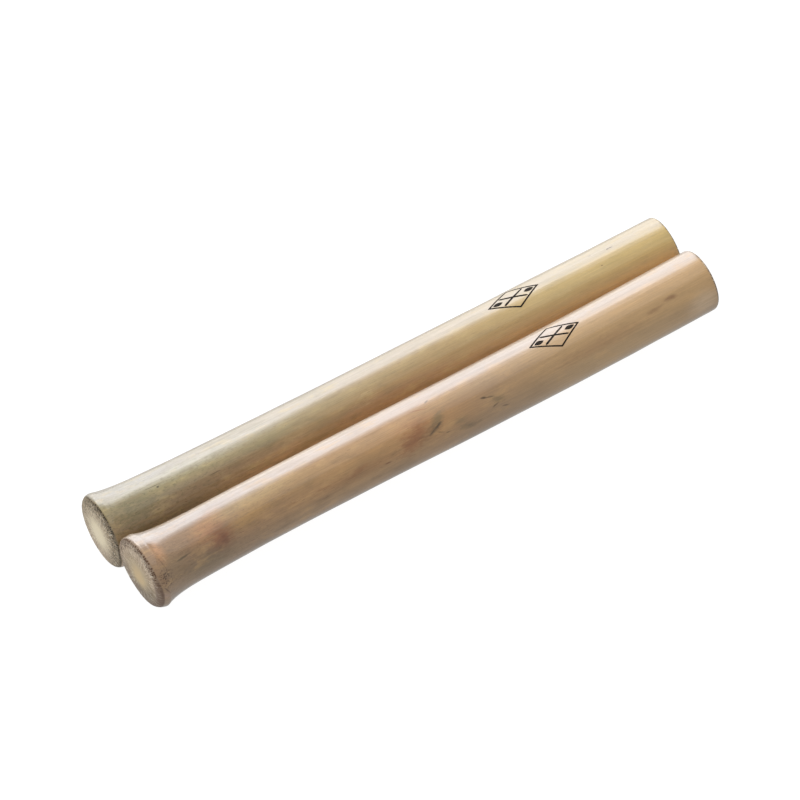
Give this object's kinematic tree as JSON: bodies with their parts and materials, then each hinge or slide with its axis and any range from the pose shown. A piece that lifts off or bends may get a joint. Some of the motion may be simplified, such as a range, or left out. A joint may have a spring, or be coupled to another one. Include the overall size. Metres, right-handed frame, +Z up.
{
  "type": "claves",
  "caption": "Lacquered bamboo percussion sticks lying side by side, each flared at its closed node end and hollow to its open end, with a small printed emblem.",
  "frame": {"origin": "middle of the pair, on the surface it lies on", "axes": "+X along the claves to their open ends, +Y to the rear clave, +Z up"},
  "size_m": [0.2543, 0.0614, 0.0306],
  "materials": {
    "rear_bamboo": "clear gloss lacquer over olive to straw-coloured bamboo skin",
    "front_bamboo": "clear gloss lacquer over grey-brown to tan bamboo skin",
    "rear_pith": "sanded end grain, satin lacquer",
    "front_pith": "sanded end grain, satin lacquer",
    "ink": "thin black print"
  },
  "bodies": {
    "rear_clave": {"rear_culm": "rear_bamboo", "rear_node_plate": "rear_pith", "rear_emblem": "ink"},
    "front_clave": {"front_culm": "front_bamboo", "front_node_plate": "front_pith", "front_emblem": "ink"}
  },
  "joints": [
    {"name": "front_clave_lift", "type": "slide", "parent": "rear_clave", "child": "front_clave", "axis": [0, 0, 1], "range_m": [0, 0.12]}
  ]
}
